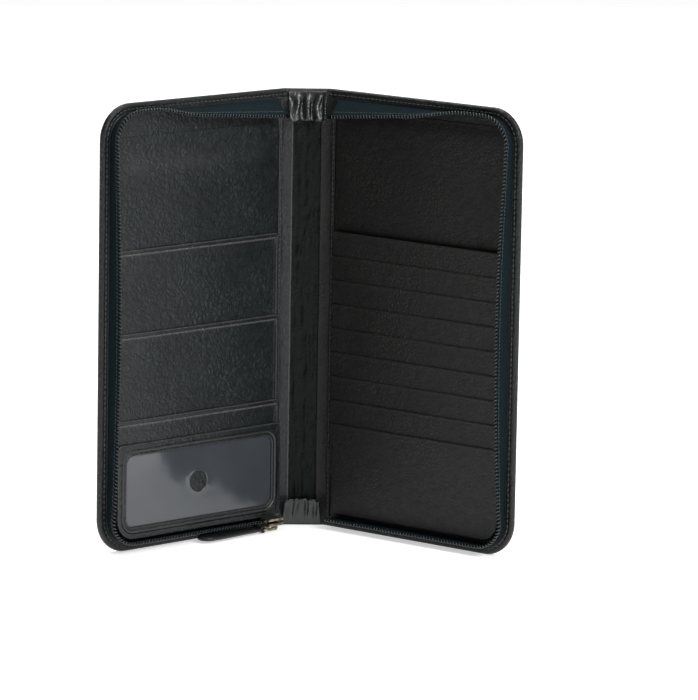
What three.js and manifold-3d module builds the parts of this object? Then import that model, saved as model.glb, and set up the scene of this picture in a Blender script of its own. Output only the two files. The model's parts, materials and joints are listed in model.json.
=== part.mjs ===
// A zip-round travel document organizer, standing open like a book on its bottom edges.
// The spine is at the back, the two covers come forward from it, and the zip is open.
// Millimetres, +Z up, origin under the middle of the object, the open side towards -Y.

import * as THREE from "three";
import { mergeVertices } from "three/addons/utils/BufferGeometryUtils.js";
import Module from "manifold-3d";

const wasm = await Module();
wasm.setup();

// ---- Driving dimensions ----
const COVER_HEIGHT = 248;
const COVER_WIDTH = 133; // from the fold line to the outer edge
const CORNER_RADIUS = 19.5;
const SPINE_WIDTH = 27.7; // between the fold lines, which is also the closed thickness
const REST_ANGLE = 40.3; // each cover, forward of the spine's plane, in degrees
const SPINE_BACK = 47.08; // the spine's outer face, behind the origin

// ---- Layers of a cover, measured inwards from its outer face ----
const GAP = 0.3; // between pieces that touch on the real object
const LEATHER = 1.2;
const BOARD = 1.4;
const PANEL = 0.7; // lining and pocket panels
const VINYL = 0.3;
const LAYER = PANEL + GAP;
const BOARD_DEPTH = LEATHER + GAP;
const LINING_DEPTH = BOARD_DEPTH + BOARD + GAP;
const POCKET_DEPTH = LINING_DEPTH + LAYER;

// ---- Turned edge, and where each layer starts at the fold ----
const RIM_WIDTH = 2.4;
const RIM_DEPTH = 3.5;
const LEATHER_START = 1.8;
const BOARD_START = 3.8;
const BOARD_MARGIN = 3;
const LINING_MARGIN = 5.5;
const BINDING_WIDTH = 2.4;
const PANEL_START = 6.6;
const PANEL_MARGIN = 7.5; // panels stay this far inside the cover's edge

// ---- Pockets: heights of the top edges above the bottom ----
const DOCUMENT_TOP = 230;
const LEFT_POCKET_TOPS = {
  left_passport_pocket: 168,
  left_ticket_pocket: 121.9,
  left_boarding_pass_pocket: 73.9,
};
const ID_TOP = 60.8;
const ID_WINDOW = { start: 13, end: 119, bottom: 14.4, top: 54, radius: 5 };
const THUMB_HOLE_RADIUS = 6;
const SLOT_COUNT = 9;
const SLOT_START = 8.4;
const FIRST_SLOT_TOP = 169.7;
const SLOT_STEP = 13.6;
const SLOT_HEIGHT = 53;
const SLOT_TILT = Math.asin(LAYER / SLOT_STEP); // shingled, each just clear of the next

// ---- Exterior slip pocket: its mouth dips away from the fold at half height ----
const POUCH_THICKNESS = 0.8;
const POUCH_MARGIN = 1;
const MOUTH_END = 14.5;
const MOUTH_DIP = 14;

// ---- Zip ----
const MEETING_DEPTH = SPINE_WIDTH / 2; // the plane where the two chains meet
const TAPE_THICKNESS = 0.6;
const TAPE_ROOT_INSET = 3.4;
const CHAIN_WIDTH = 1.7;
const CHAIN_DEPTH = 1.75;
const CHAIN_GAP = 0.5; // from each chain to the meeting plane
const CHAIN_OUT = MEETING_DEPTH - CHAIN_GAP;
const CHAIN_IN = CHAIN_OUT - CHAIN_DEPTH;
const TAPE_TIP = CHAIN_IN - GAP;
const ZIP_START = 9; // from the fold to the ends of the chain
const ZIP_BOTTOM = 5.6; // chain height along the bottom
const ZIP_CORNER = 4;
const ZIP_SIDE_BOW = 2.6;
const ZIP_TOP_CORNER = 3.4;
const ZIP_TOP_STEP = 9.3;
const ZIP_TOP_SPINE = 14;
const ZIP_STEP_START = 72;
const ZIP_STEP_END = 104;
const STOP_LENGTH = 1.6;

// ---- Slider, link and pull ----
const SLIDER_START = 16; // slider's middle, from the fold
const SLIDER_LENGTH = 11;
const SLIDER_HALF_HEIGHT = 2.1;
const SLIDER_PLATE = 0.85;
const SLIDER_NOSE = 3.9; // half widths
const SLIDER_TAIL = 3.5;
const SLIDER_FLANGE = 0.65;
const SLIDER_FLANGE_HEIGHT = 0.55;
const NECK_WIDTH = 0.6;
const NECK_LENGTH = 2;
const BAIL_HALF_LENGTH = 3.6;
const BAIL_DROP = 2.9;
const BAIL_WIDTH = 2.2;
const BAIL_THICKNESS = 0.95;
const LINK_WIRE = 0.55; // radius
const LINK_NEAR = 2.7;
const LINK_FAR = 5.2;
const LINK_LENGTH = 10;
const LINK_DROP = 3.1; // link's plane, under the chain's middle
const PULL_LENGTH = 44;
const PULL_NECK = 4; // half widths
const PULL_END = 5.6;
const PULL_THICKNESS = 2.2;
const PULL_LOOP = 1.95;
const PULL_BORE = 0.85;

// ---- Spine ----
const SPINE_CLEARANCE = 0.3;
const SPINE_END_MARGIN = 3;
const STIFFENER_THICKNESS = 1;
const STIFFENER_HALF = 12.2;
const SPINE_LINING_THICKNESS = 0.6;
const TAB_HALF_WIDTH = 8.2;
const TAB_PLEATS = 4;
const TAB_LEATHER = 0.9;
const TAB_FOLD = 1.3;
const TAB_HEIGHT = 15;
const TAB_END_GAP = 1.5;

const ARC_STEPS = 8;

// ---- Materials ----
function finish(color, roughness, metalness = 0) {
  return new THREE.MeshStandardMaterial({ color, roughness, metalness });
}
const coverLeather = finish(0x2a2e30, 0.5);
const innerLeather = finish(0x2e3436, 0.55);
const slotLeather = finish(0x20221f, 0.55);
const liningLeather = finish(0x161d1d, 0.6);
const boardCard = finish(0x6b6255, 0.9);
const tapeFabric = finish(0x16211f, 0.9);
const chainNylon = finish(0x0c0e0f, 0.4);
const agedBrass = finish(0x8c8468, 0.35, 0.9);
const clearVinyl = finish(0x9aa0a6, 0.15);

// ---- Geometry helpers ----
const radians = THREE.MathUtils.degToRad;

function addMesh(parent, name, geometry, material) {
  const mesh = new THREE.Mesh(geometry, material);
  mesh.name = name;
  parent.add(mesh);
  return mesh;
}

function vectors(points) {
  return points.map(([x, y]) => new THREE.Vector2(x, y));
}

function shapeFrom(points) {
  return new THREE.Shape(vectors(points));
}

// A flat plate of a cover. Its outline is in (distance from the fold, height) and it
// reaches inwards from the given depth. side is 1 for the right cover, -1 for the left.
function plate(outline, side, depth, thickness, holes = []) {
  const onSide = (points) => (side > 0 ? points : points.map(([u, z]) => [-u, z]).reverse());
  const shape = shapeFrom(onSide(outline));
  shape.holes = holes.map((hole) => new THREE.Path(vectors(onSide(hole))));
  const options = { depth: thickness, bevelEnabled: false };
  const geometry = new THREE.ExtrudeGeometry(shape, options);
  return geometry.rotateX(Math.PI / 2).translate(0, -depth, 0);
}

// An outline lying flat, in (x, y), made thick from the given height upwards.
function slab(outline, height, thickness) {
  const options = { depth: thickness, bevelEnabled: false };
  return new THREE.ExtrudeGeometry(shapeFrom(outline), options).translate(0, 0, height);
}

function arc(centre, radius, from, to, steps = ARC_STEPS) {
  const points = [];
  for (let i = 0; i <= steps; i++) {
    const angle = radians(from + ((to - from) * i) / steps);
    points.push([centre[0] + radius * Math.cos(angle), centre[1] + radius * Math.sin(angle)]);
  }
  return points;
}

function roundedRectangle(start, end, bottom, top, radii) {
  const [bottomStart, bottomEnd, topEnd, topStart] = radii;
  return [
    ...arc([start + bottomStart, bottom + bottomStart], bottomStart, 180, 270),
    ...arc([end - bottomEnd, bottom + bottomEnd], bottomEnd, 270, 360),
    ...arc([end - topEnd, top - topEnd], topEnd, 0, 90),
    ...arc([start + topStart, top - topStart], topStart, 90, 180),
  ];
}

// The outline of a cover layer, inset from the edge, with the fold side left straight.
function coverOutline(inset, start) {
  const radius = CORNER_RADIUS - inset;
  const centre = COVER_WIDTH - CORNER_RADIUS;
  return [
    [start, inset],
    ...arc([centre, CORNER_RADIUS], radius, -90, 0),
    ...arc([centre, COVER_HEIGHT - CORNER_RADIUS], radius, 0, 90),
    [start, COVER_HEIGHT - inset],
  ];
}

// A closed skin over a row of cross-sections with the same number of points.
function loft(sections, closed = false) {
  const sides = sections[0].length;
  const positions = sections.flat().flatMap((p) => [p.x, p.y, p.z]);
  const index = [];
  const spans = closed ? sections.length : sections.length - 1;
  for (let i = 0; i < spans; i++) {
    const a = i * sides;
    const b = ((i + 1) % sections.length) * sides;
    for (let j = 0; j < sides; j++) {
      const k = (j + 1) % sides;
      index.push(a + j, a + k, b + k, a + j, b + k, b + j);
    }
  }
  if (!closed) {
    const last = (sections.length - 1) * sides;
    for (let j = 1; j < sides - 1; j++) {
      index.push(0, j + 1, j, last, last + j, last + j + 1);
    }
  }
  const geometry = new THREE.BufferGeometry();
  geometry.setAttribute("position", new THREE.Float32BufferAttribute(positions, 3));
  geometry.setIndex(signedVolume(positions, index) < 0 ? index.reverse() : index);
  geometry.computeVertexNormals();
  return geometry;
}

function signedVolume(positions, index) {
  const corner = (i) => new THREE.Vector3().fromArray(positions, 3 * index[i]);
  let volume = 0;
  for (let i = 0; i < index.length; i += 3) {
    volume += corner(i).dot(corner(i + 1).cross(corner(i + 2))) / 6;
  }
  return volume;
}

// ---- Boolean joins and cuts ----
function toSolid(geometry) {
  const bare = geometry.clone();
  bare.deleteAttribute("normal");
  bare.deleteAttribute("uv");
  const merged = mergeVertices(bare, 1e-4);
  return new wasm.Manifold(
    new wasm.Mesh({
      numProp: 3,
      vertProperties: new Float32Array(merged.attributes.position.array),
      triVerts: new Uint32Array(merged.index.array),
    }),
  );
}

function fromSolid(solid) {
  const mesh = solid.getMesh();
  const geometry = new THREE.BufferGeometry();
  geometry.setAttribute("position", new THREE.BufferAttribute(mesh.vertProperties, 3));
  geometry.setIndex(new THREE.BufferAttribute(mesh.triVerts, 1));
  geometry.computeVertexNormals();
  return geometry;
}

function join(...geometries) {
  return fromSolid(geometries.map(toSolid).reduce((all, next) => all.add(next)));
}

function cut(geometry, ...tools) {
  return fromSolid(tools.map(toSolid).reduce((rest, tool) => rest.subtract(tool), toSolid(geometry)));
}

// ---- Cover ----
// Outer leather as a shallow tray: the leather's turned edge stands round three sides.
function coverLeatherTray(side) {
  const block = plate(coverOutline(0, LEATHER_START), side, 0, RIM_DEPTH);
  const hollow = plate(coverOutline(RIM_WIDTH, -1), side, LEATHER, RIM_DEPTH);
  return cut(block, hollow);
}

function addCoverShell(cover, side, label) {
  const layer = (margin, start, depth, thickness) =>
    plate(coverOutline(margin, start), side, depth, thickness);
  addMesh(cover, `${label}_cover_leather`, coverLeatherTray(side), coverLeather);
  addMesh(
    cover,
    `${label}_cover_board`,
    layer(BOARD_MARGIN, BOARD_START, BOARD_DEPTH, BOARD),
    boardCard,
  );
  addMesh(
    cover,
    `${label}_lining`,
    layer(LINING_MARGIN, BOARD_START, LINING_DEPTH, PANEL),
    liningLeather,
  );
  const binding = roundedRectangle(
    BOARD_START,
    BOARD_START + BINDING_WIDTH,
    LINING_MARGIN,
    COVER_HEIGHT - ZIP_TOP_SPINE,
    [0.5, 0.5, 0.5, 0.5],
  );
  addMesh(cover, `${label}_inner_binding`, plate(binding, side, POCKET_DEPTH, PANEL), innerLeather);
}

// A pocket panel from the bottom margin up to its mouth.
function pocketPanel(top, start = PANEL_START) {
  const corner = CORNER_RADIUS - PANEL_MARGIN;
  const end = COVER_WIDTH - PANEL_MARGIN;
  return roundedRectangle(start, end, PANEL_MARGIN, top, [1, corner, 3, 3]);
}

// ---- Zip ----
function smooth(value, from, to) {
  return THREE.MathUtils.smoothstep(value, from, to);
}

// How far the chain hangs inside the cover's edge along the top: it comes out towards
// the corner and draws in towards the spine.
function topInset(u) {
  const slope = (ZIP_TOP_SPINE - ZIP_TOP_STEP) / (ZIP_STEP_START - ZIP_START);
  const drawnIn = ZIP_TOP_SPINE - slope * (Math.min(u, ZIP_STEP_START) - ZIP_START);
  return THREE.MathUtils.lerp(drawnIn, ZIP_TOP_CORNER, smooth(u, ZIP_STEP_START, ZIP_STEP_END));
}

// Stations round the three zipped sides: a point on the edge, the way out of the
// cover there, and the chain's inset.
function zipStations() {
  const straight = COVER_WIDTH - CORNER_RADIUS;
  const side = COVER_HEIGHT - 2 * CORNER_RADIUS;
  const stations = [];
  const add = (u, z, angle, inset) => stations.push({ u, z, angle: radians(angle), inset });
  const corner = (z, from, insetFrom, insetTo) => {
    for (let i = 1; i < ARC_STEPS; i++) {
      const t = i / ARC_STEPS;
      const [[u, height]] = arc([straight, z], CORNER_RADIUS, from + 90 * t, 0, 0.5);
      add(u, height, from + 90 * t, THREE.MathUtils.lerp(insetFrom, insetTo, smooth(t, 0, 1)));
    }
  };
  add(ZIP_START, 0, -90, ZIP_BOTTOM);
  add(straight, 0, -90, ZIP_BOTTOM);
  corner(CORNER_RADIUS, -90, ZIP_BOTTOM, ZIP_CORNER);
  for (let i = 0; i <= ARC_STEPS; i++) {
    const t = i / ARC_STEPS;
    const bow = ZIP_SIDE_BOW * Math.sin(Math.PI * t);
    add(COVER_WIDTH, CORNER_RADIUS + side * t, 0, ZIP_CORNER + bow);
  }
  corner(COVER_HEIGHT - CORNER_RADIUS, 0, ZIP_CORNER, ZIP_TOP_CORNER);
  for (let i = 0; i <= 2 * ARC_STEPS; i++) {
    const u = THREE.MathUtils.lerp(straight, ZIP_START, i / (2 * ARC_STEPS));
    add(u, COVER_HEIGHT, 90, topInset(u));
  }
  return stations;
}

// A strip along the zip, from a cross-section in (inset, depth) at each station.
function zipStrip(side, section, stations = zipStations()) {
  return loft(
    stations.map(({ u, z, angle, inset }) =>
      section(inset).map(
        ([in_, depth]) =>
          new THREE.Vector3(
            side * (u - in_ * Math.cos(angle)),
            -depth,
            z - in_ * Math.sin(angle),
          ),
      ),
    ),
  );
}

function tapeSection(inset) {
  const half = TAPE_THICKNESS / 2;
  return [
    [TAPE_ROOT_INSET - half, LINING_DEPTH],
    [TAPE_ROOT_INSET + half, LINING_DEPTH],
    [inset + half, TAPE_TIP],
    [inset - half, TAPE_TIP],
  ];
}

function chainSection(inset) {
  const half = CHAIN_WIDTH / 2;
  return [
    [inset - half, CHAIN_IN],
    [inset + half, CHAIN_IN],
    [inset + half, CHAIN_OUT],
    [inset - half, CHAIN_OUT],
  ];
}

// A metal stop clamped beyond one end of the chain.
function zipStop(side, edge, angle, inset) {
  const ends = [ZIP_START - GAP - STOP_LENGTH, ZIP_START - GAP];
  const stations = ends.map((u) => ({ u, z: edge, angle: radians(angle), inset }));
  return zipStrip(side, chainSection, stations);
}

function addZip(cover, side, label) {
  addMesh(cover, `${label}_zip_tape`, zipStrip(side, tapeSection), tapeFabric);
  addMesh(cover, `${label}_zip_chain`, zipStrip(side, chainSection), chainNylon);
  const stop = zipStop(side, COVER_HEIGHT, 90, topInset(ZIP_START));
  addMesh(cover, `${label}_zip_top_stop`, stop, agedBrass);
}

function coverGroup(side) {
  const cover = new THREE.Group();
  cover.position.set((side * SPINE_WIDTH) / 2, SPINE_BACK, 0);
  cover.rotation.z = -side * radians(REST_ANGLE);
  return cover;
}

// ---- Left cover: stepped pockets and the window ----
function leftCover() {
  const side = -1;
  const cover = coverGroup(side);
  addCoverShell(cover, side, "left");
  const document = plate(pocketPanel(DOCUMENT_TOP), side, POCKET_DEPTH, PANEL);
  addMesh(cover, "left_document_pocket", document, innerLeather);
  let depth = POCKET_DEPTH + LAYER;
  for (const [name, top] of Object.entries(LEFT_POCKET_TOPS)) {
    addMesh(cover, name, plate(pocketPanel(top), side, depth, PANEL), innerLeather);
    depth += LAYER;
  }
  const { start, end, bottom, top, radius } = ID_WINDOW;
  const window = roundedRectangle(start, end, bottom, top, [radius, radius, radius, radius]);
  const middle = [(start + end) / 2, (bottom + top) / 2];
  const thumbHole = arc(middle, THUMB_HOLE_RADIUS, 0, 360, 24).slice(1);
  const pane = plate(pocketPanel(ID_TOP - 1), side, depth, VINYL, [thumbHole]);
  addMesh(cover, "id_window_vinyl", pane, clearVinyl);
  const frame = plate(pocketPanel(ID_TOP), side, depth + VINYL + GAP, PANEL, [window]);
  addMesh(cover, "id_window_frame", frame, innerLeather);
  addZip(cover, side, "left");
  addMesh(cover, "zip_bottom_stop", zipStop(side, 0, -90, ZIP_BOTTOM), agedBrass);
  cover.add(sliderGroup(side));
  return cover;
}

// ---- Right cover: shingled card slots inside, slip pocket outside ----
function slotOutline() {
  const corner = CORNER_RADIUS - PANEL_MARGIN;
  const end = COVER_WIDTH - PANEL_MARGIN;
  return roundedRectangle(SLOT_START, end, 0, SLOT_HEIGHT, [1, corner, 1, 1]);
}

function exteriorPocketOutline() {
  const radius = CORNER_RADIUS - POUCH_MARGIN;
  const centre = COVER_WIDTH - CORNER_RADIUS;
  const mouth = [];
  const steps = 2 * ARC_STEPS;
  for (let i = 0; i <= steps; i++) {
    const z = THREE.MathUtils.lerp(COVER_HEIGHT - POUCH_MARGIN, POUCH_MARGIN, i / steps);
    const fromMiddle = (2 * z) / COVER_HEIGHT - 1;
    mouth.push([MOUTH_END + MOUTH_DIP * (1 - fromMiddle ** 2), z]);
  }
  return [
    ...arc([centre, CORNER_RADIUS], radius, -90, 0),
    ...arc([centre, COVER_HEIGHT - CORNER_RADIUS], radius, 0, 90),
    ...mouth,
  ];
}

function rightCover() {
  const side = 1;
  const cover = coverGroup(side);
  addCoverShell(cover, side, "right");
  const pouch = plate(exteriorPocketOutline(), side, -GAP - POUCH_THICKNESS, POUCH_THICKNESS);
  addMesh(cover, "right_exterior_pocket", pouch, coverLeather);
  const document = plate(pocketPanel(DOCUMENT_TOP), side, POCKET_DEPTH, PANEL);
  addMesh(cover, "right_document_pocket", document, slotLeather);
  for (let i = 0; i < SLOT_COUNT; i++) {
    const slot = plate(slotOutline(), side, 0, PANEL);
    const mesh = addMesh(cover, `card_slot_${i + 1}`, slot, slotLeather);
    const bottom = FIRST_SLOT_TOP - SLOT_STEP * i - SLOT_HEIGHT;
    mesh.position.set(0, -(POCKET_DEPTH + LAYER), bottom);
    mesh.rotation.x = SLOT_TILT;
  }
  addZip(cover, side, "right");
  return cover;
}

// ---- Slider, link and pull: +x runs along the zip away from the spine ----
function sliderBody() {
  const half = SLIDER_LENGTH / 2;
  const plateOutline = [
    [half, -SLIDER_NOSE],
    [half, SLIDER_NOSE],
    [0, SLIDER_NOSE],
    [-half, SLIDER_TAIL],
    [-half, -SLIDER_TAIL],
    [0, -SLIDER_NOSE],
  ];
  const plates = [
    slab(plateOutline, SLIDER_HALF_HEIGHT - SLIDER_PLATE, SLIDER_PLATE),
    slab(plateOutline, -SLIDER_HALF_HEIGHT, SLIDER_PLATE),
  ];
  const inner = SLIDER_HALF_HEIGHT - SLIDER_PLATE;
  const flanges = [];
  for (const y of [-1, 1]) {
    for (const z of [-1, 1]) {
      const flange = new THREE.BoxGeometry(
        SLIDER_LENGTH,
        SLIDER_FLANGE,
        SLIDER_FLANGE_HEIGHT + SLIDER_PLATE / 2,
      );
      const y0 = y * (SLIDER_TAIL - SLIDER_FLANGE / 2);
      const z0 = z * (inner - SLIDER_FLANGE_HEIGHT / 2 + SLIDER_PLATE / 4);
      flanges.push(flange.translate(0, y0, z0));
    }
  }
  const neck = new THREE.BoxGeometry(NECK_LENGTH, NECK_WIDTH, 2 * inner + SLIDER_PLATE);
  neck.translate(half - NECK_LENGTH / 2, 0, 0);
  return join(...plates, ...flanges, neck, bail());
}

function bail() {
  const outer = BAIL_HALF_LENGTH;
  const innerLength = BAIL_HALF_LENGTH - BAIL_THICKNESS;
  const drop = BAIL_DROP;
  const innerDrop = BAIL_DROP - BAIL_THICKNESS;
  const outline = [
    [-outer, SLIDER_PLATE / 2],
    [-outer, -drop + 1],
    [-outer + 1, -drop],
    [outer - 1, -drop],
    [outer, -drop + 1],
    [outer, SLIDER_PLATE / 2],
    [innerLength, SLIDER_PLATE / 2],
    [innerLength, -innerDrop],
    [-innerLength, -innerDrop],
    [-innerLength, SLIDER_PLATE / 2],
  ];
  const options = { depth: BAIL_WIDTH, bevelEnabled: false };
  const geometry = new THREE.ExtrudeGeometry(shapeFrom(outline), options);
  geometry.translate(0, 0, -BAIL_WIDTH / 2);
  return geometry.rotateX(Math.PI / 2).translate(0, 0, -SLIDER_HALF_HEIGHT);
}

// A wire ring, narrow in the bail and wide where it holds the pull.
function linkRing() {
  const bend = 1.4;
  const route = [
    ...arc([LINK_LENGTH - bend, LINK_FAR - bend], bend, 0, 90, 4),
    ...arc([bend, LINK_NEAR - bend], bend, 100, 180, 4),
    ...arc([bend, -LINK_NEAR + bend], bend, 180, 260, 4),
    ...arc([LINK_LENGTH - bend, -LINK_FAR + bend], bend, 270, 360, 4),
  ];
  const sections = route.map(([x, y], i) => {
    const before = route[(i + route.length - 1) % route.length];
    const after = route[(i + 1) % route.length];
    const along = new THREE.Vector2(after[0] - before[0], after[1] - before[1]).normalize();
    return arc([0, 0], LINK_WIRE, 0, 315, 7).map(
      ([across, up]) => new THREE.Vector3(x + along.y * across, y - along.x * across, up),
    );
  });
  return loft(sections, true);
}

// A folded strap: a flat tongue with a round end, and a loop round the link's far wire.
function leatherPull() {
  const tongueStart = PULL_LOOP - GAP;
  const tongue = [
    [tongueStart, -PULL_NECK],
    ...arc([PULL_LENGTH - PULL_END, 0], PULL_END, -80, 80, 12),
    [tongueStart, PULL_NECK],
  ];
  const flat = slab(tongue, -PULL_THICKNESS / 2, PULL_THICKNESS);
  const loopWidth = 2 * PULL_NECK - 0.4;
  const loop = new THREE.CylinderGeometry(PULL_LOOP, PULL_LOOP, loopWidth, 20);
  const bore = new THREE.CylinderGeometry(PULL_BORE, PULL_BORE, 2 * loopWidth, 16);
  return cut(join(flat, loop), bore);
}

// The slider runs on the cover's chain at the bottom, with the link and pull under it.
function sliderGroup(side) {
  const slider = new THREE.Group();
  slider.position.set(side * SLIDER_START, -MEETING_DEPTH, ZIP_BOTTOM);
  slider.rotation.z = side < 0 ? Math.PI : 0;
  addMesh(slider, "zip_slider", sliderBody(), agedBrass);
  const link = new THREE.Group();
  link.position.set(-LINK_WIRE, 0, -LINK_DROP);
  addMesh(link, "puller_link", linkRing(), agedBrass);
  const pull = new THREE.Group();
  pull.position.set(LINK_LENGTH, 0, 0);
  addMesh(pull, "leather_pull", leatherPull(), coverLeather);
  link.add(pull);
  slider.add(link);
  return slider;
}

// ---- Spine ----
function spineStrip(half, bottom, top, depth, thickness) {
  const outline = [
    [-half, bottom],
    [half, bottom],
    [half, top],
    [-half, top],
  ];
  return plate(outline, 1, depth, thickness);
}

// Pleats seen from above: a zigzag strip of leather across the end of the spine.
function gussetTab(bottom) {
  const front = [];
  const back = [];
  const steps = 2 * TAB_PLEATS;
  const depth = BOARD_DEPTH + STIFFENER_THICKNESS + 2 * GAP + SPINE_LINING_THICKNESS;
  for (let i = 0; i <= steps; i++) {
    const x = -TAB_HALF_WIDTH + (2 * TAB_HALF_WIDTH * i) / steps;
    const fold = i % 2 ? TAB_FOLD : 0;
    back.push([x, -depth - fold]);
    front.unshift([x, -depth - fold - TAB_LEATHER]);
  }
  return slab([...back, ...front], bottom, TAB_HEIGHT);
}

function spineGroup() {
  const spine = new THREE.Group();
  spine.position.y = SPINE_BACK;
  const half = SPINE_WIDTH / 2 - SPINE_CLEARANCE;
  const inner = [SPINE_END_MARGIN, COVER_HEIGHT - SPINE_END_MARGIN];
  const liningDepth = BOARD_DEPTH + STIFFENER_THICKNESS + GAP;
  const leather = spineStrip(half, 0, COVER_HEIGHT, 0, LEATHER);
  const stiffener = spineStrip(STIFFENER_HALF, ...inner, BOARD_DEPTH, STIFFENER_THICKNESS);
  const lining = spineStrip(STIFFENER_HALF, ...inner, liningDepth, SPINE_LINING_THICKNESS);
  const topTab = gussetTab(COVER_HEIGHT - TAB_END_GAP - TAB_HEIGHT);
  addMesh(spine, "spine_leather", leather, coverLeather);
  addMesh(spine, "spine_stiffener", stiffener, boardCard);
  addMesh(spine, "spine_lining", lining, liningLeather);
  addMesh(spine, "top_gusset_tab", topTab, innerLeather);
  addMesh(spine, "bottom_gusset_tab", gussetTab(TAB_END_GAP), innerLeather);
  return spine;
}

const organizer = new THREE.Group();
organizer.add(spineGroup(), leftCover(), rightCover());

export default organizer;
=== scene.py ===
"""A zip-round travel document organizer, standing open: its looks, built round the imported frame.

Lengths are in millimetres until a mesh is made, which is in metres. A place on a cover is given by
s, the distance from the fold line towards the cover's edge (below zero it runs over the spine),
depth, the distance inwards from the outer face, and z, the height.
"""

import json
import math

import bmesh
import bpy
import numpy as np
from mathutils import Matrix, Vector


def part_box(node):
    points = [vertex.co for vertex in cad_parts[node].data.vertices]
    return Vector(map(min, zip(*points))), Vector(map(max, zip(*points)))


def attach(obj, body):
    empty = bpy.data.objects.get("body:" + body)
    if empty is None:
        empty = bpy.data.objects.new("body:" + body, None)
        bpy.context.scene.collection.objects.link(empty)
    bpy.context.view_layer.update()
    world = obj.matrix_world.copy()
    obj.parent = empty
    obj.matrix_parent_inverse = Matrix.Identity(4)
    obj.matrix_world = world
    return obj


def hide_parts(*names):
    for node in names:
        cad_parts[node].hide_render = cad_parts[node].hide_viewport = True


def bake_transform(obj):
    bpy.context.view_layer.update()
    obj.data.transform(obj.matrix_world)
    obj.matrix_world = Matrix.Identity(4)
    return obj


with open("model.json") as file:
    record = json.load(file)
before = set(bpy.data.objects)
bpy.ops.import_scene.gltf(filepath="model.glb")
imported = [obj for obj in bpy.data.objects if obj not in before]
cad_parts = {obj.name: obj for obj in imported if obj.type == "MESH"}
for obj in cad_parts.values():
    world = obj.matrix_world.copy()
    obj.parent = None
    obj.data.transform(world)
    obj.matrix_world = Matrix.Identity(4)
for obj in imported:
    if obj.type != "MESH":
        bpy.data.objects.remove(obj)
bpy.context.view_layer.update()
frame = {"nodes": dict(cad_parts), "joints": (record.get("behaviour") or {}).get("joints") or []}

MM = 0.001
LEFT, RIGHT = -1, 1
LABEL = {LEFT: "left", RIGHT: "right"}
JOINTS = {joint["name"]: joint for joint in frame["joints"]}

# ---- Sizes read from the frame ----
FOLD_X, SPINE_BACK, _ = (value / MM for value in JOINTS["right_fold"]["pos_m"])
ALONG_LEFT = Vector(JOINTS["slider_travel"]["axis"])
ANGLE = math.atan2(-ALONG_LEFT.y, -ALONG_LEFT.x)
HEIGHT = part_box("spine_leather")[1].z / MM
COVER_WIDTH = (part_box("right_cover_leather")[1].x / MM - FOLD_X) / math.cos(ANGLE)

# ---- Shell ----
CORNER = 19.5
BEND_RADIUS = 6.0
BEND = BEND_RADIUS * math.tan(ANGLE / 2)
LEATHER = 0.9
STITCH_INSET = 2.7
# The turned edge, from the outer face over the edge to its end inside: (inset, depth).
RIM_SECTION = [
    (1.9, 0.04), (1.5, 0.0), (1.0, 0.05), (0.5, 0.2), (0.1, 0.5), (-0.2, 0.95), (-0.3, 1.5),
    (-0.3, 2.2), (-0.1, 2.8), (0.3, 3.3), (0.8, 3.65), (1.4, 3.8), (2.1, 3.78), (2.6, 3.6),
    (2.9, 3.56), (3.2, 3.62), (3.7, 3.8), (4.2, 3.78), (4.5, 3.6), (4.6, 3.3), (4.5, 3.05),
]

# ---- Exterior pocket's mouth ----
MOUTH_END = 14.5
MOUTH_DIP = 14.0
MOUTH_STITCH = 2.3

# ---- Pocket panels ----
PANEL_CORNER = CORNER - 7.5
PANEL_RADII = (1, PANEL_CORNER, 3, 3)

# ---- Zip ----
ZIP_START = 9.0
CHAIN_DEPTH = 12.35
ZIP_BOTTOM = 5.6
ZIP_CORNER = 2.6
ZIP_SIDE_BOW = {-1: 3.4, 1: 4.4}
ZIP_TOP_CORNER = 3.2
ZIP_TOP_STEP = 9.3
ZIP_TOP_SPINE = 14.0
ZIP_STEP_START = {-1: 64.0, 1: 56.0}
ZIP_STEP_END = {-1: 105.0, 1: 102.0}
TOOTH_PITCH = 2.05
COIL_DEPTH = 0.8
COIL_WIDTH = 0.72
COIL_WIRE = 0.36

# Distances from an edge at which its rounding is sampled, and a border too far off to matter.
FINE = np.array([0, 0.1, 0.25, 0.45, 0.7, 1.0, 1.4, 1.8, 2.05, 2.3, 2.6, 3.0, 3.6, 4.6, 6.2, 8.5])
FAR = -300

join = np.concatenate


def together(*parts):
    """Coordinates as one array, with a point's own along its last axis."""
    return np.stack(np.broadcast_arrays(*parts), -1)



# ---- Places ----
def plan(side, s, depth):
    """World x and y of a point on a horizontal cut through spine, round bend and cover."""
    s, depth = np.broadcast_arrays(np.asarray(s, float), np.asarray(depth, float))
    turn = ANGLE * np.clip((s + BEND) / (2 * BEND), 0, 1)
    before = np.minimum(s + BEND, 0)
    after = np.maximum(s - BEND, 0)
    x = FOLD_X - BEND + before + (BEND_RADIUS - depth) * np.sin(turn) + after * math.cos(ANGLE)
    y = SPINE_BACK - BEND_RADIUS + (BEND_RADIUS - depth) * np.cos(turn) - after * math.sin(ANGLE)
    return side * x, y


def place(side, s, depth, z):
    x, y = plan(side, s, depth)
    return together(x, y, np.asarray(z, float))


def cover_extent(node):
    """Lowest and highest (s, depth, z) of a CAD node on a cover, in mm."""
    points = np.array([v.co for v in frame["nodes"][node].data.vertices]) / MM
    side = LEFT if points[:, 0].mean() < 0 else RIGHT
    x, y = side * points[:, 0] - FOLD_X, points[:, 1] - SPINE_BACK
    s = x * math.cos(ANGLE) - y * math.sin(ANGLE)
    depth = -x * math.sin(ANGLE) - y * math.cos(ANGLE)
    place_of = together(s, depth, points[:, 2])
    return place_of.min(0), place_of.max(0)


def smooth(value, start, end):
    t = np.clip((np.asarray(value, float) - start) / (end - start), 0, 1)
    return t * t * (3 - 2 * t)


def ridge(value, centre, width):
    return np.exp(-(((value - centre) / width) ** 2))


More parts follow.
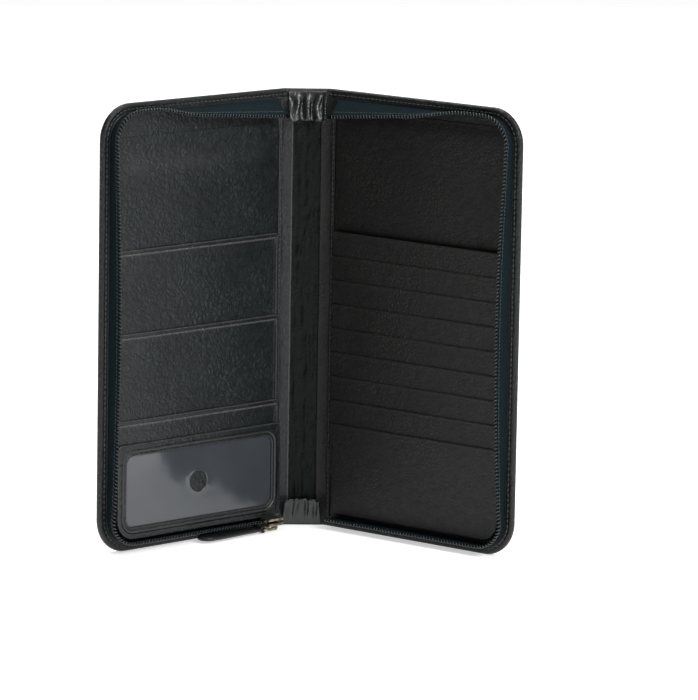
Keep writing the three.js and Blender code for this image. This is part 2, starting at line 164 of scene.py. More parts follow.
def ripples(s, z, seed, wavelength, count=7):
    """A smooth wavy field of about unit height."""
    rng = np.random.default_rng(seed)
    total = np.zeros(np.broadcast(s, z).shape)
    for _ in range(count):
        heading, phase = rng.uniform(0, 2 * math.pi, 2)
        rate = 2 * math.pi / (wavelength * rng.uniform(0.6, 1.6))
        total = total + np.sin(rate * (s * math.cos(heading) + z * math.sin(heading)) + phase)
    return total / math.sqrt(count)


def drape(side, s, z):
    """Slow waves that every inner layer of a cover shares, so that layers stay apart."""
    inside = smooth(s, 6, 25) * smooth(COVER_WIDTH - s, 8, 25)
    return 0.16 * inside * ripples(s, z, 11 + side, 55)


# ---- Meshes ----
def grid_faces(rows, cols, start=0, close_rows=False, close_cols=False):
    row = np.arange(rows if close_rows else rows - 1)[:, None]
    col = np.arange(cols if close_cols else cols - 1)[None, :]
    next_row, next_col = (row + 1) % rows, (col + 1) % cols
    corners = [row * cols + col, row * cols + next_col, next_row * cols + next_col]
    corners.append(next_row * cols + col)
    return (np.stack(corners, -1).reshape(-1, 4) + start).tolist()


def slab_faces(rows, cols):
    """Two grids of the same size, front and back, closed round their border."""
    size = rows * cols
    index = np.arange(size).reshape(rows, cols)
    border = [*index[0, :-1], *index[:-1, -1], *index[-1, :0:-1], *index[:0:-1, 0]]
    faces = grid_faces(rows, cols) + grid_faces(rows, cols, size)
    for a, b in zip(border, border[1:] + border[:1]):
        faces.append((int(a), int(b), int(b) + size, int(a) + size))
    return faces


def make_piece(name, points, faces, material, cloth, wear_and_highlight=0):
    """A smooth mesh that keeps its flat cloth coordinates and how pale each point is painted, for
    rubbed wear and painted highlights.
    """
    points = np.asarray(points, float).reshape(-1, 3)
    mesh = bpy.data.meshes.new(name)
    mesh.from_pydata((points * MM).tolist(), [], faces)
    tidy = bmesh.new()
    tidy.from_mesh(mesh)
    bmesh.ops.recalc_face_normals(tidy, faces=tidy.faces)
    tidy.to_mesh(mesh)
    tidy.free()
    mesh.polygons.foreach_set("use_smooth", np.ones(len(mesh.polygons), bool))
    flat = mesh.attributes.new("cloth", "FLOAT_VECTOR", "POINT")
    flat.data.foreach_set("vector", np.asarray(cloth, np.float32).reshape(-1))
    pale_wear_and_highlight = np.zeros(len(points)) + np.reshape(wear_and_highlight, -1)
    # How pale each point is painted: rubbed wear, and painted highlights on edges, creases and crests.
    wear_and_highlight_paint = mesh.attributes.new("wear_and_highlight", "FLOAT", "POINT")
    wear_and_highlight_paint.data.foreach_set("value", pale_wear_and_highlight.astype(np.float32))
    mesh.materials.append(material)
    piece = bpy.data.objects.new(name, mesh)
    bpy.context.scene.collection.objects.link(piece)
    return piece


def spaced(low, high, step, fine=FINE):
    """Positions from low to high, close together near both ends."""
    ends = fine[fine < (high - low) / 2.2]
    count = max(2, round((high - low - 2 * ends[-1]) / step) + 1)
    middle = np.linspace(low + ends[-1], high - ends[-1], count)
    return join([low + ends[:-1], middle, high - ends[:-1][::-1]])


def corner_cut(radius, from_end):
    """How much shorter a row is where a corner of that radius rounds it off."""
    rise = np.maximum(radius - np.maximum(from_end, 0), 0)
    return radius - np.sqrt(np.maximum(radius**2 - rise**2, 0))


def edge_distance(s, z, low, high, radii):
    """Distance inwards from the border of a rectangle with round corners."""
    left, down, right, up = s - low[0], z - low[1], high[0] - s, high[1] - z
    edge = np.minimum(np.minimum(left, right), np.minimum(down, up))
    corners = ((left, down), (right, down), (right, up), (left, up))
    for radius, (across, along) in zip(radii, corners):
        rounded = radius - np.hypot(radius - across, radius - along)
        edge = np.where((across < radius) & (along < radius), rounded, edge)
    return np.maximum(edge, 0)


def rounded_grid(low, high, radii, cols, rows):
    """A grid over a rectangle with round corners, and each point's distance from the edge.
    radii go round from the low corner: low s low z, high s low z, high s high z, low s high z."""
    (s0, z0), (s1, z1) = low, high
    pivot = (s0 + s1) / 2
    z = rows[:, None] + 0 * cols[None, :]
    start = s0 + np.maximum(corner_cut(radii[0], rows - z0), corner_cut(radii[3], z1 - rows))
    end = s1 - np.maximum(corner_cut(radii[1], rows - z0), corner_cut(radii[2], z1 - rows))
    share_in = (pivot - start) / (pivot - s0)
    share_out = (end - pivot) / (s1 - pivot)
    share = np.where(cols[None, :] < pivot, share_in[:, None], share_out[:, None])
    s = pivot + (cols[None, :] - pivot) * share
    return s, z, edge_distance(s, z, low, high, radii)


def rounded_rise(edge, radius):
    """From 0.12 at an edge to 1, a quarter circle."""
    t = np.clip(edge / radius, 0, 1)
    return 0.12 + 0.88 * np.sqrt(1 - (1 - t) ** 2)


def slab(name, front, back, material, cloth, pale_wear_and_highlight=0):
    """A closed sheet between two grids of points."""
    pale_wear_and_highlight = pale_wear_and_highlight + 0 * front[..., 0]
    return make_piece(
        name,
        join([front, back]),
        slab_faces(*front.shape[:2]),
        material,
        join([cloth, cloth + [0, 0, 5]]),
        join([pale_wear_and_highlight, 0 * pale_wear_and_highlight]),
    )


def sheet_solid(name, side, s, z, front, back, material, pale_wear_and_highlight=0):
    """A closed sheet on a cover between two depths, given at each grid point."""
    cloth = together(s * side, z, 0 * s)
    return slab(name, place(side, s, front, z), place(side, s, back, z), material, cloth, pale_wear_and_highlight)


def thicken(piece, thickness, offset=0):
    solid = piece.modifiers.new("thickness", "SOLIDIFY")
    solid.thickness = thickness * MM
    solid.offset = offset
    return solid


def tube_rings(centres, normals, radii, sides, closed=False):
    """Rings of points round a line, and the line's own normals made square to it."""
    if closed:
        along = np.roll(centres, -1, 0) - np.roll(centres, 1, 0)
    else:
        along = np.gradient(centres, axis=-2)
    along = along / np.linalg.norm(along, axis=-1, keepdims=True)
    normals = normals - (normals * along).sum(-1, keepdims=True) * along
    normals = normals / np.linalg.norm(normals, axis=-1, keepdims=True)
    across = np.cross(along, normals)
    turn = np.arange(sides) * 2 * math.pi / sides
    out = np.cos(turn)[:, None] * normals[..., None, :] + np.sin(turn)[:, None] * across[..., None, :]
    return centres[..., None, :] + np.asarray(radii)[..., None, None] * out


def tube_faces(rings, sides, start=0, closed=False):
    faces = grid_faces(rings, sides, start, close_rows=closed, close_cols=True)
    if not closed:
        first = start + np.arange(sides)
        faces += [first[::-1].tolist(), (first + (rings - 1) * sides).tolist()]
    return faces


STITCH_STATIONS = np.array([-1, -0.72, -0.3, 0.3, 0.72, 1])
STITCH_LIFT = np.array([-0.9, 0.2, 0.6, 0.6, 0.2, -0.9])
STITCH_WIDTH = np.array([0.45, 0.9, 1, 1, 0.9, 0.45])
STITCH_SIDES = 6


def stitching(name, rows, material, spacing=2.9, length=2.3, thread=0.24):
    """Rows of stitches: each row is (points on the leather, the leather's normals there)."""
    points, faces = [], []
    for path, normals in rows:
        step = np.linalg.norm(np.diff(path, axis=0), axis=1)
        run = join([[0], np.cumsum(step)])
        count = max(1, round(run[-1] / spacing))
        middle = (np.arange(count)[:, None] + 0.5) * run[-1] / count
        at = middle + STITCH_STATIONS * length / 2
        line = np.stack([np.interp(at, run, path[:, k]) for k in range(3)], -1)
        up = np.stack([np.interp(at, run, normals[:, k]) for k in range(3)], -1)
        line = line + up * (STITCH_LIFT * thread)[:, None]
        radii = np.broadcast_to(STITCH_WIDTH * thread, at.shape)
        rings = tube_rings(line, up, radii, STITCH_SIDES)
        per_stitch = len(STITCH_STATIONS) * STITCH_SIDES
        for ring in rings:
            faces += tube_faces(len(STITCH_STATIONS), STITCH_SIDES, len(points) * per_stitch)
            points.append(ring.reshape(-1, 3))
    points = join(points)
    return make_piece(name, points, faces, material, points)


def surface_path(side, s, z, depth, outward):
    """A line on a cover's outer or inner side, with the leather's normals."""
    here = place(side, s, depth, z)
    ahead = place(side, s, depth + (-1 if outward else 1), z)
    return here, ahead - here


# ---- The line round the three zipped sides ----
def edge_stations(step, start):
    """Points round the cover's edge: s, z, and the angle of the way out."""
    straight, side = COVER_WIDTH - CORNER, HEIGHT - 2 * CORNER
    runs = [straight - start, CORNER * math.pi / 2, side, CORNER * math.pi / 2, straight - start]
    counts = [max(2, round(run / step)) for run in runs]
    spans = [np.arange(count) / count for count in counts]
    quarter = math.pi / 2
    turns = [spans[0] * 0 - quarter, spans[1] * quarter - quarter, spans[2] * 0]
    turns += [spans[3] * quarter, spans[4] * 0 + quarter]
    s = [start + spans[0] * runs[0], straight + CORNER * np.cos(turns[1])]
    s += [spans[2] * 0 + COVER_WIDTH, straight + CORNER * np.cos(turns[3])]
    s += [straight - spans[4] * runs[4]]
    z = [spans[0] * 0, CORNER + CORNER * np.sin(turns[1]), CORNER + spans[2] * side]
    z += [HEIGHT - CORNER + CORNER * np.sin(turns[3]), spans[4] * 0 + HEIGHT]
    s, z, turn = (join(part) for part in (s, z, turns))
    return np.append(s, start), np.append(z, HEIGHT), np.append(turn, quarter)


def inset_line(stations, inset):
    s, z, turn = stations
    return s - inset * np.cos(turn), z - inset * np.sin(turn)


def run_length(s, z):
    return join([[0], np.cumsum(np.hypot(np.diff(s), np.diff(z)))])


def chain_inset(side_sign, stations):
    """How far inside the cover's edge the coil runs, all the way round."""
    s, z, turn = stations
    step_start, step_end = ZIP_STEP_START[side_sign], ZIP_STEP_END[side_sign]
    slope = (ZIP_TOP_SPINE - ZIP_TOP_STEP) / (step_start - ZIP_START)
    drawn_in = ZIP_TOP_SPINE - slope * (np.minimum(s, step_start) - ZIP_START)
    top = drawn_in + (ZIP_TOP_CORNER - drawn_in) * smooth(s, step_start, step_end)
    up = np.clip((z - CORNER) / (HEIGHT - 2 * CORNER), 0, 1)
    side = ZIP_CORNER + ZIP_SIDE_BOW[side_sign] * np.sin(math.pi * up) ** 0.8
    side = side + (ZIP_TOP_CORNER - ZIP_CORNER) * smooth(up, 0.9, 1)
    low = smooth(-turn / (math.pi / 2), 0, 1)
    high = smooth(turn / (math.pi / 2), 0, 1)
    return side * (1 - low - high) + ZIP_BOTTOM * low + top * high


# ---- Materials ----
def add_node(tree, kind, inputs=(), **settings):
    made = tree.nodes.new(kind)
    for key, value in settings.items():
        setattr(made, key, value)
    for key, value in dict(inputs).items():
        if isinstance(value, bpy.types.NodeSocket):
            tree.links.new(value, made.inputs[key])
        else:
            made.inputs[key].default_value = value
    return made


def blank_material(name, **values):
    material = bpy.data.materials.new(name)
    material.use_nodes = True
    shader = material.node_tree.nodes["Principled BSDF"]
    for key, value in values.items():
        shader.inputs[key.replace("_", " ")].default_value = value
    return material, material.node_tree, shader


def attribute(tree, name, output="Vector"):
    return add_node(tree, "ShaderNodeAttribute", attribute_name=name).outputs[output]


def object_coordinates(tree):
    return add_node(tree, "ShaderNodeTexCoord").outputs["Object"]


def noise(tree, vector, scale, detail=3.0, roughness=0.5):
    inputs = {"Vector": vector, "Scale": scale, "Detail": detail, "Roughness": roughness}
    return add_node(tree, "ShaderNodeTexNoise", inputs).outputs["Fac"]


def cell_creases(tree, vector, size):
    inputs = {"Vector": vector, "Scale": 1 / size}
    made = add_node(tree, "ShaderNodeTexVoronoi", inputs, feature="DISTANCE_TO_EDGE")
    return made.outputs["Distance"]


def remap(tree, value, low, high, to_low, to_high, kind="LINEAR"):
    inputs = {"Value": value, 1: low, 2: high, 3: to_low, 4: to_high}
    made = add_node(tree, "ShaderNodeMapRange", inputs, interpolation_type=kind)
    return made.outputs["Result"]


def combine(tree, operation, a, b):
    return add_node(tree, "ShaderNodeMath", {0: a, 1: b}, operation=operation).outputs[0]


def add_share(tree, total, extra, share):
    return combine(tree, "ADD", total, combine(tree, "MULTIPLY", extra, share))


def vector_maths(tree, operation, a, b):
    return add_node(tree, "ShaderNodeVectorMath", {0: a, 1: b}, operation=operation).outputs[0]


def mix_colour(tree, share, a, b):
    return add_node(tree, "ShaderNodeMix", {0: share, 6: a, 7: b}, data_type="RGBA").outputs[2]


def shade(colour, factor):
    return (*[min(1, channel * factor) for channel in colour], 1)


def tones(tree, share, colour, dark, light):
    return mix_colour(tree, share, shade(colour, dark), shade(colour, light))


def wire_up(tree, shader, base, rough, height=None, relief=0):
    """Links colour and roughness, and a bump of that many millimetres."""
    tree.links.new(base, shader.inputs["Base Color"])
    tree.links.new(rough, shader.inputs["Roughness"])
    if height is not None:
        inputs = {"Height": height, "Distance": relief * MM, "Strength": 1.0}
        made = add_node(tree, "ShaderNodeBump", inputs)
        tree.links.new(made.outputs["Normal"], shader.inputs["Normal"])


def leather(name, colour, grain, depth, rough, specular, pale_wear_and_highlight=2.6):
    """Grained leather: pebbles with creases between them, wrinkles and patches; painted shade darkens
    the creases, and a per-point attribute paints paler marks: rubbed wear and painted highlights on
    edges, creases and crests.
    """
    material, tree, shader = blank_material(name, Specular_IOR_Level=specular)
    flat = attribute(tree, "cloth")
    drift = add_node(tree, "ShaderNodeTexNoise", {"Vector": flat, "Scale": 0.45, "Detail": 2.0})
    away = vector_maths(tree, "MULTIPLY", drift.outputs["Color"], (1.6, 1.6, 1.6))
    bent = vector_maths(tree, "ADD", flat, away)
    small = remap(tree, cell_creases(tree, bent, grain), 0.0, 0.3, 0.0, 1.0, "SMOOTHSTEP")
    large = cell_creases(tree, bent, grain * 1.7)
    large = remap(tree, large, 0.0, 0.38, 0.0, 1.0, "SMOOTHSTEP")
    fine = noise(tree, flat, 1.2, 2.0)
    broad = noise(tree, flat, 0.2, 2.0)
    patches = noise(tree, flat, 0.028)
    drawn = noise(tree, vector_maths(tree, "MULTIPLY", bent, (0.2, 0.5, 1.0)), 1.0, 1.5)
    coarse = remap(tree, patches, 0.4, 0.62, 0.35, 1.7)
    height = add_share(tree, combine(tree, "MULTIPLY", small, 0.5), large, coarse)
    for relief, share in ((fine, 0.4), (drawn, 1.8), (broad, 3.5)):
        height = add_share(tree, height, relief, share)
    base = tones(tree, remap(tree, patches, 0.35, 0.65, 0.0, 1.0), colour, 0.75, 1.25)
    # Painted shade: the colour is darkened along the creases between the larger pebbles.
    painted_crease_shade = combine(tree, "MULTIPLY", remap(tree, large, 0.0, 0.9, 1.3, 0.0), fine)
    base = mix_colour(tree, painted_crease_shade, base, shade(colour, 0.25))
    # Paler colour from the per-point attribute: rubbed wear, and painted highlights on edges, creases
    # and crests.
    wear_and_highlight = attribute(tree, "wear_and_highlight", "Fac")
    wear_and_highlight_mix = combine(tree, "MULTIPLY", wear_and_highlight, remap(tree, fine, 0.35, 0.65, 0.25, 1.0))
    wear_and_highlight_paint = (colour[1], colour[1] * 0.98, colour[1] * 0.93)
    base = mix_colour(tree, wear_and_highlight_mix, base, shade(wear_and_highlight_paint, pale_wear_and_highlight))
    dull = remap(tree, broad, 0.3, 0.7, *rough)
    dull = combine(tree, "SUBTRACT", dull, combine(tree, "MULTIPLY", wear_and_highlight_mix, 0.1))
    wire_up(tree, shader, base, dull, height, depth)
    return material


def woven(name, colour, across=1.1, along=1.5):
    """Zip tape: ribs across the tape with a finer thread between them."""
    material, tree, shader = blank_material(name, Specular_IOR_Level=0.12)
    flat = attribute(tree, "cloth")
    split = add_node(tree, "ShaderNodeSeparateXYZ", {0: flat})
    run = combine(tree, "MULTIPLY", split.outputs[0], 2 * math.pi / along)
    over = combine(tree, "MULTIPLY", split.outputs[1], 2 * math.pi / across)
    shifted = add_share(tree, run, over, 0.5)
    weft = add_node(tree, "ShaderNodeMath", {0: shifted}, operation="SINE").outputs[0]
    warp = add_node(tree, "ShaderNodeMath", {0: over}, operation="SINE").outputs[0]
    threads = combine(tree, "MULTIPLY", weft, warp)
    fuzz = noise(tree, flat, 3.5, 3.0, 0.6)
    base = tones(tree, remap(tree, threads, -1.0, 1.0, 0.0, 1.0), colour, 0.5, 1.6)
    rough = remap(tree, fuzz, 0.3, 0.7, 0.62, 0.85)
    wire_up(tree, shader, base, rough, add_share(tree, threads, fuzz, 0.6), 0.2)
    return material


def mottled(name, colour, grain, shades, rough, relief=0, flat=True, **values):
    """One noise field drives the colour, the gloss and, if it has one, the relief."""
    material, tree, shader = blank_material(name, **values)
    where = attribute(tree, "cloth") if flat else object_coordinates(tree)
    marks = noise(tree, where, *grain)
    base = tones(tree, marks, colour, *shades)
    height = marks if relief else None
    wire_up(tree, shader, base, remap(tree, marks, 0.3, 0.7, *rough), height, relief)
    return material


def metal(name, colour):
    """Old metal: darker and paler blotches at random, with fine scratches in the relief."""
    material, tree, shader = blank_material(name, Metallic=1.0)
    where = object_coordinates(tree)
    blotches = noise(tree, where, 500.0, 4.0, 0.6)
    scratches = noise(tree, where, 2500.0, 3.0, 0.7)
    base = tones(tree, remap(tree, blotches, 0.38, 0.66, 0.0, 1.0), colour, 0.35, 1.25)
    wire_up(tree, shader, base, remap(tree, blotches, 0.3, 0.7, 0.5, 0.26), scratches, 0.03)
    return material


def pale_floor(name):
    values = {"Roughness": 0.7, "Specular_IOR_Level": 0.1}
    glow = {"Emission_Color": (1, 1, 1, 1), "Emission_Strength": 0.52}
    material, tree, shader = blank_material(name, **values, **glow)
    soft = noise(tree, object_coordinates(tree), 3.0, 2.0)
    base = mix_colour(tree, soft, (0.93, 0.93, 0.93, 1), (0.96, 0.96, 0.96, 1))
    tree.links.new(base, shader.inputs["Base Color"])
    return material


# Leathers: colour, grain size, relief, roughness range, specular level, how pale the rubbed wear and
# painted highlight marks are.
POCKET_LEATHER = leather(
    "pocket_leather", (0.0105, 0.0145, 0.0155), 1.9, 0.09, (0.34, 0.46), 0.45, 13.0
)
SHELL_LEATHER = leather("shell_leather", (0.0062, 0.0078, 0.009), 1.8, 0.15, (0.38, 0.52), 0.36, 4.5)
SLOT_LEATHER = leather("slot_leather", (0.0085, 0.009, 0.0078), 1.3, 0.07, (0.42, 0.54), 0.3, 3.5)
LINING_LEATHER = leather("lining_leather", (0.0028, 0.0045, 0.0045), 1.3, 0.1, (0.42, 0.56), 0.16)
TAB_LEATHER = leather("tab_leather", (0.0045, 0.006, 0.0065), 1.2, 0.05, (0.27, 0.38), 0.7, 3.0)
PULL_LEATHER = leather("pull_leather", (0.006, 0.0075, 0.008), 0.8, 0.08, (0.34, 0.46), 0.45)
TAPE = woven("tape_weave", (0.0048, 0.0128, 0.0162))
# The others: colour, noise, darkest and palest shade, roughness range, relief.
TEETH = mottled(
    "nylon_coil", (0.007, 0.0105, 0.0115), (0.8, 2.0), (0.7, 1.5), (0.16, 0.28),
    Specular_IOR_Level=0.5, Coat_Weight=0.2,
)
THREAD = mottled(
    "black_thread", (0.038, 0.042, 0.043), (4.0, 2.0), (0.6, 1.5), (0.4, 0.6), 0.08,
    Specular_IOR_Level=0.5, Sheen_Weight=0.2,
)
BOARD = mottled(
    "fibreboard", (0.15, 0.13, 0.1), (900.0, 5.0, 0.7), (0.7, 1.25), (0.8, 0.95), 0.1, False,
    Specular_IOR_Level=0.2,
)
VINYL = mottled(
    "window_vinyl", (0.041, 0.047, 0.055), (0.045, 1.0, 0.4), (0.85, 1.15), (0.1, 0.16), 0.5,
    Specular_IOR_Level=0.48, IOR=1.7,
)
BRASS = metal("antique_brass", (0.36, 0.32, 0.23))
BLACKENED = metal("blackened_metal", (0.03, 0.03, 0.028))
INNER = {LEFT: (POCKET_LEATHER, "inner_leather"), RIGHT: (SLOT_LEATHER, "slot_leather")}


# ---- Studio ----
CAMERA_AT = (-0.089, -2.7799, 0.603)
CAMERA_TURN = (2.32, 10.08, 0.98)
CAMERA_LENS = 262.5


def make_camera():
    """A long lens from the front, a little above, turned a little to the right."""
    yaw, pitch, roll = (math.radians(value) for value in CAMERA_TURN)
    forward = Vector(
        (math.sin(yaw) * math.cos(pitch), math.cos(yaw) * math.cos(pitch), -math.sin(pitch))
    )
    level = Vector((math.cos(yaw), -math.sin(yaw), 0))
    upright = level.cross(forward)
    right = level * math.cos(roll) + upright * math.sin(roll)
    up = upright * math.cos(roll) - level * math.sin(roll)
    camera = bpy.data.objects.new("camera", bpy.data.cameras.new("camera"))
    bpy.context.scene.collection.objects.link(camera)
    turned = Matrix((right, up, -forward)).transposed().to_4x4()
    camera.matrix_world = Matrix.Translation(CAMERA_AT) @ turned
    camera.data.lens = CAMERA_LENS
    camera.data.clip_end = 50
    bpy.context.scene.camera = camera


def make_light(name, target, place_at, size, power):
    light = bpy.data.objects.new(name, bpy.data.lights.new(name, "AREA"))
    light.data.shape = "RECTANGLE"
    light.data.size, light.data.size_y = size
    light.data.energy = power
    bpy.context.scene.collection.objects.link(light)
    light.location = place_at
    light.rotation_euler = (Vector(target) - Vector(place_at)).to_track_quat("-Z", "Y").to_euler()


def make_world():
    """White behind the object, brighter from above and from the right than from the left."""
    world = bpy.data.worlds.new("studio")
    bpy.context.scene.world = world
    world.use_nodes = True
    tree = world.node_tree
    direction = add_node(tree, "ShaderNodeTexCoord").outputs["Generated"]
    split = add_node(tree, "ShaderNodeSeparateXYZ", {0: direction})
    sideways = remap(tree, split.outputs[0], -0.6, 0.9, 0.03, 0.4)
    above = remap(tree, split.outputs[2], 0.0, 0.9, 0.0, 0.25)
    level = combine(tree, "ADD", sideways, above)
    seen = add_node(tree, "ShaderNodeLightPath").outputs["Is Camera Ray"]
    strength = add_node(tree, "ShaderNodeMix", {0: seen, 2: level, 3: 1.0}, data_type="FLOAT")
    background = tree.nodes["Background"]
    background.inputs["Color"].default_value = (1, 1, 1, 1)
    tree.links.new(strength.outputs[0], background.inputs["Strength"])


def make_studio():
    make_camera()
    make_world()
    bpy.context.scene.view_settings.view_transform = "Standard"
    make_light("key_light", (0, 0, 0.12), (1.3, -1.5, 1.5), (0.8, 0.8), 34)
    make_light("top_light", (0, 0, 0.1), (-0.2, 0.3, 1.9), (1.2, 1.2), 20)
    make_light("back_light", (0, 0.2, 0.1), (-0.5, 2.0, 1.2), (1.2, 0.8), 12)
    mesh = bpy.data.meshes.new("floor")
    turns = [k * math.pi / 32 for k in range(64)]
    rim = [(4 * math.cos(turn), 4 * math.sin(turn), 0) for turn in turns]
    mesh.from_pydata(rim, [], [list(range(64))])
    mesh.materials.append(pale_floor("pale_floor"))
    floor = bpy.data.objects.new("floor", mesh)
    bpy.context.scene.collection.objects.link(floor)


def across_fold(piece):
    """Bakes the piece's world placement into its mesh."""
    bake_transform(piece)


def finish_piece(piece, slot, *nodes):
    if nodes:
        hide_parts(*nodes)
    return piece


def ride_cover(piece, side, slot, *nodes):
    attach(piece, LABEL[side] + "_cover")
    return finish_piece(piece, slot, *nodes)


# ---- Shell: outer leather, turned over the edge and stitched ----
def mouth(z):
    """The curved mouth of the slip pocket outside the right cover."""
    return MOUTH_END + MOUTH_DIP * (1 - (2 * np.asarray(z) / HEIGHT - 1) ** 2)


def shell_surface(side, s, z, edge):
    depth = 0.22 * ridge(edge + 1.5, STITCH_INSET, 0.5)
    across = side * (s + FOLD_X)
    depth = depth + 0.12 * ripples(across, z, 5, 38) * smooth(edge, 1, 12) + 0.1
    depth = depth - 0.1 * (1 - smooth(edge, 0, 2))
    if side == RIGHT:
        inside = smooth(edge, 0, 2)
        depth = depth + 0.55 * ridge(s, mouth(z) - 0.4, 0.45) * inside
        depth = depth - 0.25 * ridge(s, mouth(z) - 1.3, 0.7) * inside
        depth = depth + 0.2 * ridge(s, mouth(z) - MOUTH_STITCH - 0.3, 0.5) * inside
    return depth


def make_shell(side):
    margin = 1.5
    outer = COVER_WIDTH - margin
    near = np.array([-FOLD_X, -11, -8, -5, -3.6])
    bend = np.arange(-2.8, 4.4, 0.4)
    inner = np.arange(5, 31.5, 0.5) if side == RIGHT else np.arange(5, 31, 2.5)
    border = outer - FINE[::-1][1:]
    cols = join([near, bend, inner, np.arange(33.5, outer - 9, 3.2), border])
    rows = spaced(margin, HEIGHT - margin, 3.2)
    high, radii = (outer, HEIGHT - margin), (0, CORNER - margin, CORNER - margin, 0)
    s, z, _ = rounded_grid((-FOLD_X, margin), high, radii, cols, rows)
    edge = edge_distance(s, z, (FAR, margin), high, radii)
    skin = place(side, s, shell_surface(side, s, z, edge), z)
    flat = together(side * (s + FOLD_X), z, 0 * s)
    stations = edge_stations(2.0, -FOLD_X)
    rings = []
    for inset, depth in RIM_SECTION:
        at_s, at_z = inset_line(stations, inset)
        rings.append(place(side, at_s, depth, at_z))
    strip = np.stack(rings, 1)
    length = run_length(*inset_line(stations, 2.5))
    width = np.cumsum([0, *np.hypot(*np.diff(np.array(RIM_SECTION), axis=0).T)])
    band = together(length[:, None], width[None, :] + 300, 0)
    # Paler over the edge's round and over the flat band inside the turned edge: painted sheen, with
    # rubbed wear at the edge.
    rim_wear_and_highlight = [0.3 * ridge(i, 0.1, 0.5) + 0.1 * (d > 3.3) for i, d in RIM_SECTION]
    pale_wear_and_highlight = np.broadcast_to(np.array(rim_wear_and_highlight), strip.shape[:2])
    shell = make_piece(
        LABEL[side] + "_shell",
        join([skin.reshape(-1, 3), strip.reshape(-1, 3)]),
        grid_faces(*s.shape) + grid_faces(*strip.shape[:2], start=s.size),
        SHELL_LEATHER,
        join([flat.reshape(-1, 3), band.reshape(-1, 3)]),
        join([np.zeros(s.size), pale_wear_and_highlight.reshape(-1)]),
    )
    thicken(shell, LEATHER, -1).use_rim = False
    across_fold(shell)
    finish_piece(shell, "cover_leather", LABEL[side] + "_cover_leather", "spine_leather")
    at_s, at_z = inset_line(edge_stations(1.5, -FOLD_X), STITCH_INSET)
    on_pocket = smooth(at_s - mouth(at_z), 0, 1) if side == RIGHT else 0 * at_s
    outside = surface_path(side, at_s, at_z, 0.14 - 0.58 * on_pocket, True)
    inside = surface_path(side, at_s, at_z, 3.62, False)
    seams = stitching(LABEL[side] + "_edge_stitching", [outside, inside], THREAD, thread=0.28)
    across_fold(seams)


def make_exterior_pocket():
    margin = 0.7
    radius = CORNER - margin
    outer, top = COVER_WIDTH - margin, HEIGHT - margin
    rows = spaced(margin, top, 3.5)
    share = spaced(0, outer - MOUTH_END, 3.2) / (outer - MOUTH_END)
    z = rows[:, None] + 0 * share[None, :]
    cut = np.maximum(corner_cut(radius, rows - margin), corner_cut(radius, top - rows))
    begin, end = mouth(rows)[:, None], (outer - cut)[:, None]
    s = begin + (end - begin) * share[None, :]
    edge = edge_distance(s, z, (FAR, margin), (outer, top), (0, radius, radius, 0))
    from_mouth = s - begin
    thick = np.minimum(rounded_rise(from_mouth, 1.1), 0.1 + 0.9 * smooth(edge, 0, 3.4))
    front = 0.05 - thick + 0.2 * ridge(edge + margin, STITCH_INSET, 0.5)
    front = front - 0.25 * ridge(from_mouth, 2.2, 2.2) * smooth(edge, 2, 9)
    front = front + 0.1 * ripples(s, z, 21, 42) * smooth(edge, 2, 12) * smooth(from_mouth, 2, 9)
    # Painted highlight along the rolled mouth edge of the slip pocket.
    pale_wear_and_highlight = 0.8 * ridge(from_mouth, 0.5, 0.6)
    piece = sheet_solid(
        "slip_pocket_panel", RIGHT, s, z, front, 0.12 + 0 * s, SHELL_LEATHER, pale_wear_and_highlight
    )
    ride_cover(piece, RIGHT, "cover_leather", "right_exterior_pocket")
    at_z = np.linspace(4, HEIGHT - 4, 160)
    yoke = surface_path(RIGHT, mouth(at_z) - MOUTH_STITCH, at_z, 0.05, True)
    seams = stitching("yoke_stitching", [yoke], THREAD, thread=0.26)
    ride_cover(seams, RIGHT, "cover_leather")


# ---- Inner leather, over the gutter and across each cover ----
FLAP_X = 7.4
FLAP_JOIN = 6.2
FLAP_STEPS = 14


def gutter_curve(side, depth, count):
    """World x, y from the flap's edge on the spine to the cover, at a depth, as one soft bend."""
    start = np.array([side * FLAP_X, SPINE_BACK - depth])
    end = np.array(plan(side, FLAP_JOIN, depth))
    along = np.array([-side * math.cos(ANGLE), math.sin(ANGLE)])
    first = start + [side * 3.2, -0.2]
    last = end + along * 3.2
    t = np.linspace(0, 1, count)[:, None]
    return (1 - t) ** 3 * start + 3 * t * (1 - t) ** 2 * first + 3 * t**2 * (1 - t) * last + t**3 * end


